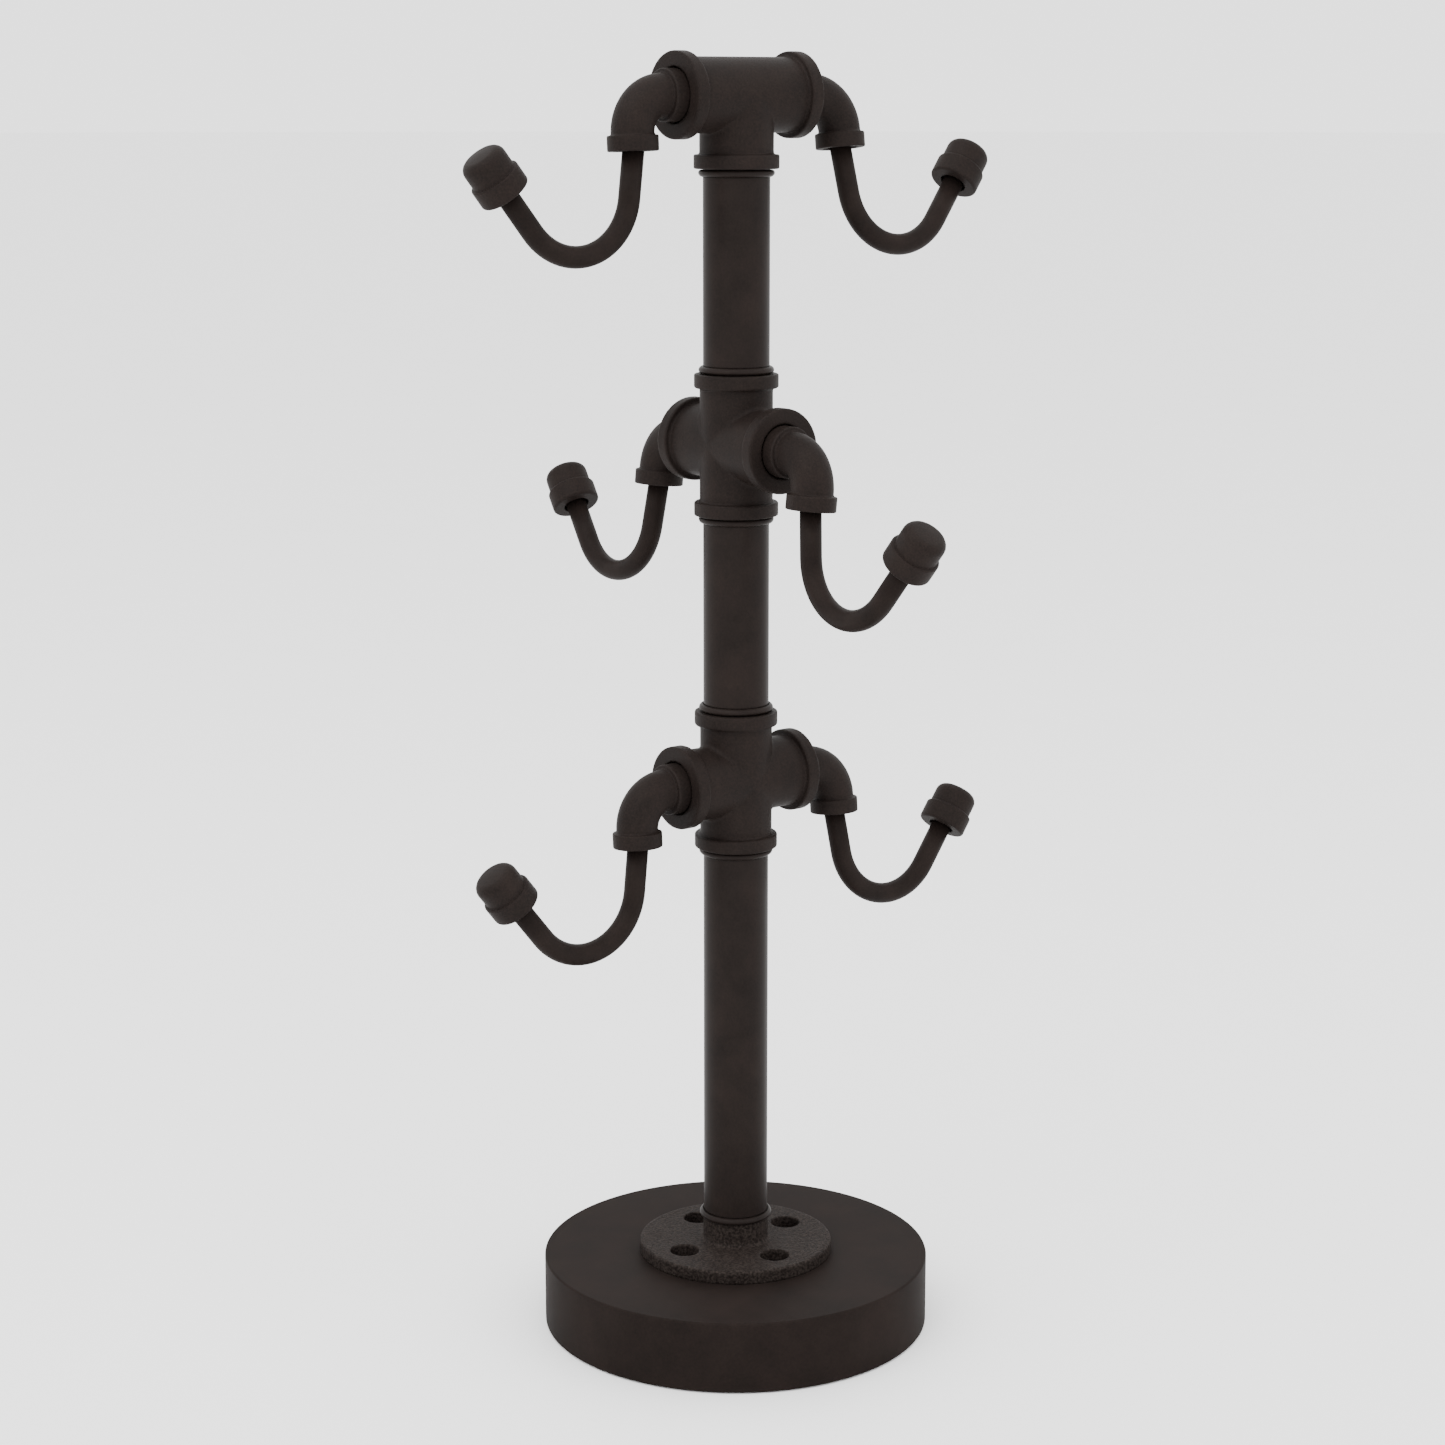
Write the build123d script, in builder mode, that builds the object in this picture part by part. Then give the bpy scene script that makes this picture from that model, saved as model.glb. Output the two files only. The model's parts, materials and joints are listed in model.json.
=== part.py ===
"""Six-hook mug tree made of pipe fittings on a heavy round base.

Frame: millimetres, +Z up, origin on the pole's axis at the underside of the base.
The top and lower arms point along -X and +X, the middle arms along -Y and +Y.
A hook is drawn in its own side plane: u runs outwards along the port's axis, w runs up.
"""

from build123d import *
import os
from math import asin, cos, radians, sin

os.makedirs("parts", exist_ok=True)

# --- driving dimensions -------------------------------------------------------------

# Pole: three lengths of pipe with a reduced end that enters a fitting
PIPE_D = 21.3
PIPE_BORE = 13.0
SPIGOT_D = 17.1
SPIGOT_L = 9.0

# Fittings: a raised band at each mouth, and side ports a little further out than those
# on the pole. Every port's floor is as far from the fitting's centre
PORT_REACH = 22.75
SIDE_PORT_REACH = 24.6
PORT_FLOOR = 11.75
PORT_BORE = 17.3
WAY_BORE = 13.0
BODY_D = 23.5
BAND_D = 27.1
BAND_L = 4.5
BAND_EDGE = 0.45
CAST_BLEND = 1.6

# Heights of the fittings' centres
CROSS_LOWER_Z = 187.5
LEVEL_PITCH = 109.65
CROSS_MIDDLE_Z = CROSS_LOWER_Z + LEVEL_PITCH
TEE_TOP_Z = CROSS_MIDDLE_Z + LEVEL_PITCH

# Base disc with a pad let into its underside
BASE_D = 129.0
BASE_TOP_Z = 24.0
BASE_STAND_OFF = 0.4
BASE_EDGE = 0.7
PAD_D = 112.0
PAD_T = 1.6
PAD_GAP = 0.2

# Floor flange
FLANGE_D = 64.6
FLANGE_T = 4.3
FLANGE_HUB_D = 21.8
FLANGE_TOP_Z = 36.2
FLANGE_HOLE_D = 9.7
FLANGE_HOLE_CIRCLE_D = 42.6
FLANGE_HOLES = 4
FLANGE_ROOT_BLEND = 1.5
FLANGE_EDGE = 0.8

# Bolt that pulls the pole down on the base
BOLT_D = 8.0
BOLT_HEAD_AF = 13.0
BOLT_HEAD_T = 5.3
BOLT_CLEAR_D = 9.0
WASHER_D = 20.0
WASHER_T = 1.6
COUNTERBORE_D = 24.0
COUNTERBORE_TOP_Z = 11.0
FOOT_PLUG_L = 20.0

# Bead rings that cover each joint of pole and fitting
BEAD_D = 24.2
BEAD_T = 2.3
BEAD_GAP = 0.3

# Elbow: a collar and a plain spigot in the port, a banded outlet pointing down
OUTLET_REACH = 40.45
OUTLET_DROP = 16.9
ELBOW_BEND_R = 11.5
ELBOW_BODY_D = 13.5
ELBOW_WAY_D = 8.4
ELBOW_BAND_D = 16.0
ELBOW_BAND_L = 4.9
ELBOW_BAND_EDGE = 0.35
COLLAR_D = 16.4
COLLAR_START = 23.6
COLLAR_END = 28.85
ELBOW_SPIGOT_D = 12.0
ELBOW_SPIGOT_START = 13.75
OUTLET_BORE_D = 11.0
OUTLET_BORE_L = 9.2

# Bushings
PORT_BUSHING_START = 12.75
PORT_BUSHING_END = 22.0
RUNNING_CLEARANCE = 0.05
SEAT_CLEARANCE = 0.03
ROD_BUSHING_RECESS = 0.6
ROD_BUSHING_L = 7.6

# Hook rod: down and slightly outwards, round a bend, and up to the cap
ROD_D = 6.88
ROD_INSERTED = 8.0
ROD_SLANT = 8.6
ROD_DOWN_L = 14.3
ROD_BEND_R = 20.2
ROD_RISE_FROM_VERTICAL = 37.7
ROD_UP_L = 14.5

# End cap
CAP_L = 14.8
CAP_D = 16.2
CAP_BAND_L = 6.7
CAP_BODY_D = 14.4
CAP_SHOULDER_R = 2.7
CAP_CROWN = 0.6
CAP_EDGE = 0.7
CAP_MOUTH_D = 8.6
CAP_MOUTH_L = 1.6
CAP_CAVITY_D = 11.0
CAP_CAVITY_END = 9.6
CAP_BUSHING_END = 9.0

# Arms: name, direction of the port from above, height of the port, and how far the hook
# is turned about its port, right-handed about the outward direction
ARMS = (
    ("top_left", 180, TEE_TOP_Z, 3),
    ("top_right", 0, TEE_TOP_Z, -7),
    ("middle_front", 270, CROSS_MIDDLE_Z, -6),
    ("middle_back", 90, CROSS_MIDDLE_Z, 5),
    ("lower_left", 180, CROSS_LOWER_Z, 4),
    ("lower_right", 0, CROSS_LOWER_Z, -5),
)


# --- helpers ------------------------------------------------------------------------


def save(builder: BuildPart, name: str, turn: float = 0) -> None:
    """Label a finished piece, turned about the pole if asked, and write its STEP file."""
    piece = builder.part.rotate(Axis.Z, turn) if turn else builder.part
    piece.label = name
    export_step(piece, f"parts/{name}.step")


def side_plane(frame: Plane) -> Plane:
    """The plane in which u is the frame's x and w is the frame's z."""
    return Plane(frame.origin, x_dir=frame.x_dir, z_dir=-frame.y_dir)


def port_frame(azimuth: float, height: float, turn: float = 0) -> Plane:
    """Frame at a fitting's centre with x out along one port and z up, turned about x."""
    outwards = Vector(cos(radians(azimuth)), sin(radians(azimuth)), 0)
    upwards = Vector(0, 0, 1).rotate(Axis((0, 0, 0), outwards), turn)
    return Plane((0, 0, height), x_dir=outwards, z_dir=upwards)


def step_block(plane: Plane, start: float, end: float, outer: float, inner: float = 0.0) -> None:
    """Add a cylinder or a ring about the plane's x axis, from start to end along it."""
    with BuildSketch(plane) as profile:
        with Locations(((start + end) / 2, (outer + inner) / 4)):
            Rectangle(end - start, (outer - inner) / 2)
    revolve(profile.sketch, axis=Axis(plane.origin, plane.x_dir))


# --- base ---------------------------------------------------------------------------

with BuildPart() as base_disc:
    with BuildSketch(Plane.XY.offset(BASE_STAND_OFF)):
        Circle(BASE_D / 2)
    extrude(amount=BASE_TOP_Z - BASE_STAND_OFF)
    fillet(base_disc.edges().filter_by(GeomType.CIRCLE), radius=BASE_EDGE)
    with BuildSketch(Plane.XY):
        Circle(PAD_D / 2 + PAD_GAP)
    extrude(amount=PAD_T, mode=Mode.SUBTRACT)
    with BuildSketch(Plane.XY):
        Circle(COUNTERBORE_D / 2)
    extrude(amount=COUNTERBORE_TOP_Z, mode=Mode.SUBTRACT)
    with BuildSketch(Plane.XY):
        Circle(BOLT_CLEAR_D / 2)
    extrude(amount=BASE_TOP_Z, mode=Mode.SUBTRACT)
save(base_disc, "base_disc")

with BuildPart() as base_pad:
    with BuildSketch(Plane.XY):
        Circle(PAD_D / 2)
    extrude(amount=PAD_T)
    chamfer(base_pad.faces().sort_by(Axis.Z)[0].edges(), length=0.3)
save(base_pad, "base_pad")

with BuildPart() as floor_flange:
    with BuildSketch(Plane.XY.offset(BASE_TOP_Z)):
        Circle(FLANGE_D / 2)
    extrude(amount=FLANGE_T)
    fillet(floor_flange.edges().sort_by(Axis.Z)[-1], radius=FLANGE_EDGE)
    plate_top = Plane.XY.offset(BASE_TOP_Z + FLANGE_T)
    with BuildSketch(plate_top):
        Circle(FLANGE_HUB_D / 2)
    extrude(amount=FLANGE_TOP_Z - BASE_TOP_Z - FLANGE_T)
    hub_root = floor_flange.edges().filter_by(
        lambda edge: edge.geom_type == GeomType.CIRCLE
        and abs(edge.radius - FLANGE_HUB_D / 2) < 0.01
        and abs(edge.center().Z - plate_top.origin.Z) < 0.01
    )
    fillet(hub_root, radius=FLANGE_ROOT_BLEND)
    with BuildSketch(Plane.XY.offset(BASE_TOP_Z)):
        Circle(PORT_BORE / 2)
        with PolarLocations(FLANGE_HOLE_CIRCLE_D / 2, FLANGE_HOLES):
            Circle(FLANGE_HOLE_D / 2)
    extrude(amount=FLANGE_TOP_Z - BASE_TOP_Z, mode=Mode.SUBTRACT)
save(floor_flange, "floor_flange")

washer_bottom_z = COUNTERBORE_TOP_Z - WASHER_T
with BuildPart() as base_washer:
    with BuildSketch(Plane.XY.offset(washer_bottom_z)):
        Circle(WASHER_D / 2)
        Circle(BOLT_CLEAR_D / 2, mode=Mode.SUBTRACT)
    extrude(amount=WASHER_T)
save(base_washer, "base_washer")

foot_plug_bottom_z = FLANGE_TOP_Z - SPIGOT_L
foot_plug_top_z = foot_plug_bottom_z + FOOT_PLUG_L
with BuildPart() as base_bolt:
    with BuildSketch(Plane.XY.offset(washer_bottom_z)):
        RegularPolygon(BOLT_HEAD_AF / 2, 6, major_radius=False)
    extrude(amount=-BOLT_HEAD_T)
    with BuildSketch(Plane.XY.offset(washer_bottom_z)):
        Circle(BOLT_D / 2)
    extrude(amount=foot_plug_top_z - 2 - washer_bottom_z)
    chamfer(base_bolt.edges().sort_by(Axis.Z)[-1], length=1.0)
save(base_bolt, "base_bolt")

with BuildPart() as foot_plug:
    with BuildSketch(Plane.XY.offset(foot_plug_bottom_z)):
        Circle(PIPE_BORE / 2 - SEAT_CLEARANCE)
        Circle(BOLT_D / 2 + SEAT_CLEARANCE, mode=Mode.SUBTRACT)
    extrude(amount=FOOT_PLUG_L)
save(foot_plug, "foot_plug")


# --- pole ---------------------------------------------------------------------------


def make_pole(name: str, bottom_z: float, top_z: float) -> None:
    """One length of pipe between two shoulders, with a reduced spigot at each end."""
    with BuildPart() as pole:
        with BuildSketch(Plane.XY.offset(bottom_z)):
            Circle(PIPE_D / 2)
        extrude(amount=top_z - bottom_z)
        with BuildSketch(Plane.XY.offset(bottom_z - SPIGOT_L)):
            Circle(SPIGOT_D / 2)
        extrude(amount=top_z - bottom_z + 2 * SPIGOT_L)
        with BuildSketch(Plane.XY.offset(bottom_z - SPIGOT_L)):
            Circle(PIPE_BORE / 2)
        extrude(amount=top_z - bottom_z + 2 * SPIGOT_L, mode=Mode.SUBTRACT)
    save(pole, name)


make_pole("pole_lower", FLANGE_TOP_Z, CROSS_LOWER_Z - PORT_REACH)
make_pole("pole_middle", CROSS_LOWER_Z + PORT_REACH, CROSS_MIDDLE_Z - PORT_REACH)
make_pole("pole_upper", CROSS_MIDDLE_Z + PORT_REACH, TEE_TOP_Z - PORT_REACH)


def make_bead(name: str, edge_z: float, up: int) -> None:
    """A ring round the pole that starts a small gap away from a fitting's face.

    edge_z is the height of the face, and up is 1 for a bead above it or -1 below it.
    The outside is a half round, and a short cone leads back to the pole.
    """
    near = BEAD_GAP
    far = BEAD_GAP + BEAD_T
    round_r = BEAD_T * 0.36
    with BuildPart() as bead:
        with BuildSketch(Plane((0, 0, edge_z), x_dir=(1, 0, 0), z_dir=(0, -up, 0))):
            with BuildLine():
                inner = PIPE_D / 2 + SEAT_CLEARANCE
                outer = BEAD_D / 2 - round_r
                Line((inner, near), (outer, near))
                ThreePointArc((outer, near), (BEAD_D / 2, near + round_r), (outer, near + 2 * round_r))
                Line((outer, near + 2 * round_r), (inner, far))
                Line((inner, far), (inner, near))
            make_face()
        revolve(axis=Axis.Z)
    save(bead, name)


make_bead("bead_foot", FLANGE_TOP_Z, 1)
make_bead("bead_lower_cross_bottom", CROSS_LOWER_Z - PORT_REACH, -1)
make_bead("bead_lower_cross_top", CROSS_LOWER_Z + PORT_REACH, 1)
make_bead("bead_middle_cross_bottom", CROSS_MIDDLE_Z - PORT_REACH, -1)
make_bead("bead_middle_cross_top", CROSS_MIDDLE_Z + PORT_REACH, 1)
make_bead("bead_tee", TEE_TOP_Z - PORT_REACH, -1)


# --- fittings -----------------------------------------------------------------------


def reach_of(direction: tuple) -> float:
    """Distance from a fitting's centre to the face of the port that points in a direction."""
    return PORT_REACH if direction[2] else SIDE_PORT_REACH


def make_fitting(name: str, height: float, directions: tuple, blend: float, turn: float = 0) -> None:
    """A cast tee or cross: one straight branch for each direction, then bands and bores.

    Each direction is a unit vector along a port. blend is the radius where the branches
    of a cross meet, and turn swings the finished fitting about the pole.
    """
    centre = Vector(0, 0, height)
    with BuildPart() as fitting:
        for direction in directions:
            with BuildSketch(Plane(centre, z_dir=direction)):
                Circle(BODY_D / 2)
            extrude(amount=reach_of(direction))
        if blend:
            port_points = [centre + Vector(*direction) * reach_of(direction) for direction in directions]
            meeting_edges = fitting.edges().filter_by(
                lambda edge: edge.geom_type != GeomType.LINE
                and all((edge.arc_center - point).length > 1.0 for point in port_points)
            )
            fillet(meeting_edges, radius=blend)
        for direction in directions:
            band_start = centre + Vector(*direction) * (reach_of(direction) - BAND_L)
            with BuildSketch(Plane(band_start, z_dir=direction)):
                Circle(BAND_D / 2)
            extrude(amount=BAND_L)
        band_edges = fitting.edges().filter_by(
            lambda edge: edge.geom_type == GeomType.CIRCLE and abs(edge.radius - BAND_D / 2) < 0.01
        )
        fillet(band_edges, radius=BAND_EDGE)
        for direction in directions:
            floor_centre = centre + Vector(*direction) * PORT_FLOOR
            with BuildSketch(Plane(floor_centre, z_dir=direction)):
                Circle(PORT_BORE / 2)
            extrude(amount=reach_of(direction) - PORT_FLOOR, mode=Mode.SUBTRACT)
            with BuildSketch(Plane(centre, z_dir=direction)):
                Circle(WAY_BORE / 2)
            extrude(amount=reach_of(direction), mode=Mode.SUBTRACT)
    save(fitting, name, turn)


UP = (0, 0, 1)
DOWN = (0, 0, -1)
LEFT = (-1, 0, 0)
RIGHT = (1, 0, 0)
make_fitting("cross_lower", CROSS_LOWER_Z, (UP, DOWN, LEFT, RIGHT), CAST_BLEND)
make_fitting("cross_middle", CROSS_MIDDLE_Z, (UP, DOWN, LEFT, RIGHT), CAST_BLEND, turn=90)
make_fitting("tee_top", TEE_TOP_Z, (DOWN, LEFT, RIGHT), 0)


# --- arms ---------------------------------------------------------------------------


def heading_vector(heading: float) -> Vector:
    """Unit vector in (u, w) at an angle from straight down, turning outwards."""
    return Vector(sin(radians(heading)), -cos(radians(heading)))


RISE_HEADING = 180 - ROD_RISE_FROM_VERTICAL
OUTLET = Vector(OUTLET_REACH, -OUTLET_DROP)
DOWN_DIR = heading_vector(ROD_SLANT)
UP_DIR = heading_vector(RISE_HEADING)
BEND_START = OUTLET + DOWN_DIR * ROD_DOWN_L
BEND_CENTRE = BEND_START + heading_vector(ROD_SLANT + 90) * ROD_BEND_R
BEND_END = BEND_CENTRE - heading_vector(RISE_HEADING + 90) * ROD_BEND_R
BEND_MIDDLE = BEND_CENTRE - heading_vector((ROD_SLANT + RISE_HEADING) / 2 + 90) * ROD_BEND_R
CAP_MOUTH = BEND_END + UP_DIR * ROD_UP_L


def in_plane(plane: Plane, point: Vector, along: Vector) -> Plane:
    """A plane of the same side view, with its origin at point and its x axis along a heading."""
    origin = plane.from_local_coords((point.X, point.Y, 0))
    x_dir = plane.from_local_coords((point.X + along.X, point.Y + along.Y, 0)) - origin
    return Plane(origin, x_dir=x_dir, z_dir=plane.z_dir)


def make_elbow(name: str, side: Plane) -> None:
    """Street elbow: spigot and collar in the port, a quarter bend, and a banded outlet."""
    bend_start_u = OUTLET_REACH - ELBOW_BEND_R
    with BuildPart() as elbow:
        step_block(side, ELBOW_SPIGOT_START, COLLAR_START + 0.5, ELBOW_SPIGOT_D)
        step_block(side, COLLAR_START, COLLAR_END, COLLAR_D)
        collar_rims = elbow.edges().filter_by(
            lambda edge: edge.geom_type == GeomType.CIRCLE and abs(edge.radius - COLLAR_D / 2) < 0.01
        )
        fillet(collar_rims, radius=BAND_EDGE)
        outlet = in_plane(side, OUTLET, Vector(0, 1))
        step_block(outlet, 0, ELBOW_BAND_L, ELBOW_BAND_D)
        outlet_rims = elbow.edges().filter_by(
            lambda edge: edge.geom_type == GeomType.CIRCLE and abs(edge.radius - ELBOW_BAND_D / 2) < 0.01
        )
        fillet(outlet_rims, radius=ELBOW_BAND_EDGE)
        for bore, operation in ((ELBOW_BODY_D, Mode.ADD), (ELBOW_WAY_D, Mode.SUBTRACT)):
            first_u = COLLAR_END - 1 if operation == Mode.ADD else ELBOW_SPIGOT_START
            last_w = -OUTLET_DROP + 1 if operation == Mode.ADD else -OUTLET_DROP
            with BuildLine(side) as way:
                Line((first_u, 0), (bend_start_u, 0))
                JernArc((bend_start_u, 0), (1, 0), ELBOW_BEND_R, -90)
                Line((OUTLET_REACH, -ELBOW_BEND_R), (OUTLET_REACH, last_w))
            with BuildSketch(Plane(way.line @ 0, z_dir=side.x_dir)):
                Circle(bore / 2)
            sweep(path=way.line, mode=operation)
        with BuildSketch(outlet):
            with Locations((OUTLET_BORE_L / 2, OUTLET_BORE_D / 4)):
                Rectangle(OUTLET_BORE_L, OUTLET_BORE_D / 2)
        revolve(axis=Axis(outlet.origin, outlet.x_dir), mode=Mode.SUBTRACT)
    save(elbow, name)


def make_rod_bushing(name: str, side: Plane) -> None:
    """Plug in the outlet with a slanting hole for the hook rod."""
    outlet = in_plane(side, OUTLET, Vector(0, 1))
    rod_line = in_plane(side, OUTLET, DOWN_DIR * -1)
    with BuildPart() as rod_bushing:
        step_block(
            outlet,
            ROD_BUSHING_RECESS,
            ROD_BUSHING_RECESS + ROD_BUSHING_L,
            OUTLET_BORE_D - 2 * SEAT_CLEARANCE,
        )
        with BuildSketch(rod_line):
            with Locations((0, ROD_D / 4 + SEAT_CLEARANCE / 2)):
                Rectangle(4 * ROD_BUSHING_L, ROD_D / 2 + SEAT_CLEARANCE)
        revolve(axis=Axis(rod_line.origin, rod_line.x_dir), mode=Mode.SUBTRACT)
    save(rod_bushing, name)


def make_hook_rod(name: str, side: Plane) -> None:
    """Round rod bent to a J, with each end hidden in the elbow and in the cap."""
    top = OUTLET - DOWN_DIR * ROD_INSERTED
    tip = CAP_MOUTH + UP_DIR * ROD_INSERTED
    with BuildPart() as hook_rod:
        with BuildLine(side) as way:
            Line((top.X, top.Y), (BEND_START.X, BEND_START.Y))
            ThreePointArc(
                (BEND_START.X, BEND_START.Y),
                (BEND_MIDDLE.X, BEND_MIDDLE.Y),
                (BEND_END.X, BEND_END.Y),
            )
            Line((BEND_END.X, BEND_END.Y), (tip.X, tip.Y))
        with BuildSketch(Plane(way.line @ 0, z_dir=way.line % 0)):
            Circle(ROD_D / 2)
        sweep(path=way.line)
    save(hook_rod, name)


def make_end_cap(name: str, side: Plane) -> None:
    """Pipe cap: a wide band at the mouth, a narrower body and a rounded crown."""
    mouth = in_plane(side, CAP_MOUTH, UP_DIR)
    band_r = CAP_D / 2
    body_r = CAP_BODY_D / 2
    shoulder_u = CAP_L - CAP_CROWN - CAP_SHOULDER_R
    bend = CAP_SHOULDER_R * (1 - cos(radians(45)))
    crown_r = body_r - CAP_SHOULDER_R
    crown_sphere_r = (crown_r**2 + CAP_CROWN**2) / (2 * CAP_CROWN)
    half_crown = asin(crown_r / crown_sphere_r) / 2
    with BuildPart() as end_cap:
        with BuildSketch(mouth):
            with BuildLine():
                Polyline(
                    (0, 0),
                    (0, band_r - CAP_EDGE),
                    (CAP_EDGE, band_r),
                    (CAP_BAND_L - CAP_EDGE, band_r),
                    (CAP_BAND_L, body_r),
                    (shoulder_u, body_r),
                )
                ThreePointArc(
                    (shoulder_u, body_r),
                    (shoulder_u + CAP_SHOULDER_R - bend, body_r - bend),
                    (CAP_L - CAP_CROWN, crown_r),
                )
                ThreePointArc(
                    (CAP_L - CAP_CROWN, crown_r),
                    (CAP_L - crown_sphere_r * (1 - cos(half_crown)), crown_sphere_r * sin(half_crown)),
                    (CAP_L, 0),
                )
                Line((CAP_L, 0), (0, 0))
            make_face()
        revolve(axis=Axis(mouth.origin, mouth.x_dir))
        with BuildSketch(mouth):
            with BuildLine():
                Polyline(
                    (0, 0),
                    (0, CAP_MOUTH_D / 2),
                    (CAP_MOUTH_L, CAP_MOUTH_D / 2),
                    (CAP_MOUTH_L, CAP_CAVITY_D / 2),
                    (CAP_CAVITY_END, CAP_CAVITY_D / 2),
                    (CAP_CAVITY_END, 0),
                    close=True,
                )
            make_face()
        revolve(axis=Axis(mouth.origin, mouth.x_dir), mode=Mode.SUBTRACT)
    save(end_cap, name)


for arm, azimuth, height, turn in ARMS:
    fixed_side = side_plane(port_frame(azimuth, height))
    hook_side = side_plane(port_frame(azimuth, height, turn))

    with BuildPart() as port_bushing:
        step_block(
            fixed_side,
            PORT_BUSHING_START,
            PORT_BUSHING_END,
            PORT_BORE - 2 * SEAT_CLEARANCE,
            ELBOW_SPIGOT_D + 2 * RUNNING_CLEARANCE,
        )
    save(port_bushing, f"port_bushing_{arm}")

    make_elbow(f"elbow_{arm}", hook_side)
    make_rod_bushing(f"rod_bushing_{arm}", hook_side)
    make_hook_rod(f"hook_rod_{arm}", hook_side)
    make_end_cap(f"end_cap_{arm}", hook_side)

    cap_mouth = in_plane(hook_side, CAP_MOUTH, UP_DIR)
    with BuildPart() as cap_bushing:
        step_block(
            cap_mouth,
            CAP_MOUTH_L,
            CAP_BUSHING_END,
            CAP_CAVITY_D - 2 * SEAT_CLEARANCE,
            ROD_D + 2 * SEAT_CLEARANCE,
        )
    save(cap_bushing, f"cap_bushing_{arm}")
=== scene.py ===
"""Looks of a six-hook mug tree made of pipe fittings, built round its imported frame.

Sizes are in millimetres and become metres in one place, the constant MM.
A hook is drawn in its own side view: u runs outwards along the port's axis, w runs up.
"""

import json
import logging
import math
from dataclasses import dataclass, field
from enum import Enum
from typing import Any, ClassVar, Iterable, Sequence

import bmesh
import bpy
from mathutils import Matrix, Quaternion, Vector

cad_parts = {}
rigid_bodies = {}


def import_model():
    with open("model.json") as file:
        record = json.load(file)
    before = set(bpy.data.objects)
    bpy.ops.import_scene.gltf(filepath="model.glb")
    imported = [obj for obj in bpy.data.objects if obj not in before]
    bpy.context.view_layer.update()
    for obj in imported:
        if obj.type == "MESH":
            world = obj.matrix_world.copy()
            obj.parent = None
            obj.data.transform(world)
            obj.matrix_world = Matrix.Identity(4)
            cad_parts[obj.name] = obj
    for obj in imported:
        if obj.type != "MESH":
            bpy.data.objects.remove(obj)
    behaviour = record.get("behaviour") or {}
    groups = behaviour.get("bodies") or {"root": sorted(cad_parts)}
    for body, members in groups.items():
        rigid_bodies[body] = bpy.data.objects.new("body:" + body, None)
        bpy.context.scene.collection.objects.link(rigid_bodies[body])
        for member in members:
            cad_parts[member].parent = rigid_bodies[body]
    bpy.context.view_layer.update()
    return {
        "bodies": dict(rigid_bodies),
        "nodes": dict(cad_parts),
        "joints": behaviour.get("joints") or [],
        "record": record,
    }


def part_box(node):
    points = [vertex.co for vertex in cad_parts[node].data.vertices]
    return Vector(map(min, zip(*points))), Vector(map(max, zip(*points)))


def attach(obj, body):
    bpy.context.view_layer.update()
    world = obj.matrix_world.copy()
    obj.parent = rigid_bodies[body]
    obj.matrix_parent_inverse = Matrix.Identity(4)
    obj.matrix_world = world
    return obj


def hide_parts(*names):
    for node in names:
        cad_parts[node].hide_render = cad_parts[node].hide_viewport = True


Colour = tuple[float, float, float]

MM = 0.001
FULL_TURN = 2 * math.pi
TOUCHING = 1e-6
UP = Vector((0, 0, 1)).freeze()
NOISE_MEAN = 0.5
ROUNDING_STEPS = 5
TURNED_STEPS = 128
LOG = logging.getLogger("mug_tree")


# --- shader building ------------------------------------------------------------------


class Value:
    """A number socket of a shader that can stand in a Python expression."""

    def __init__(self, shader: "Shader", socket: bpy.types.NodeSocket) -> None:
        """Wrap one output socket.

        Args:
            shader: The shader that owns the socket's node.
            socket: The output that holds the number.
        """
        self.shader = shader
        self.socket = socket

    def _math(self, operation: str, first: Any, second: Any) -> "Value":
        """Add a Math node that works on two values or numbers."""
        node = self.shader.node("ShaderNodeMath", {"operation": operation}, {0: first, 1: second})
        return Value(self.shader, node.outputs[0])

    def __add__(self, other: Any) -> "Value":
        """Sum of this value and another."""
        return self._math("ADD", self, other)

    def __radd__(self, other: Any) -> "Value":
        """Sum of a number and this value."""
        return self._math("ADD", other, self)

    def __sub__(self, other: Any) -> "Value":
        """This value less another."""
        return self._math("SUBTRACT", self, other)

    def __rsub__(self, other: Any) -> "Value":
        """A number less this value."""
        return self._math("SUBTRACT", other, self)

    def __mul__(self, other: Any) -> "Value":
        """Product of this value and another."""
        return self._math("MULTIPLY", self, other)

    def __rmul__(self, other: Any) -> "Value":
        """Product of a number and this value."""
        return self._math("MULTIPLY", other, self)


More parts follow.
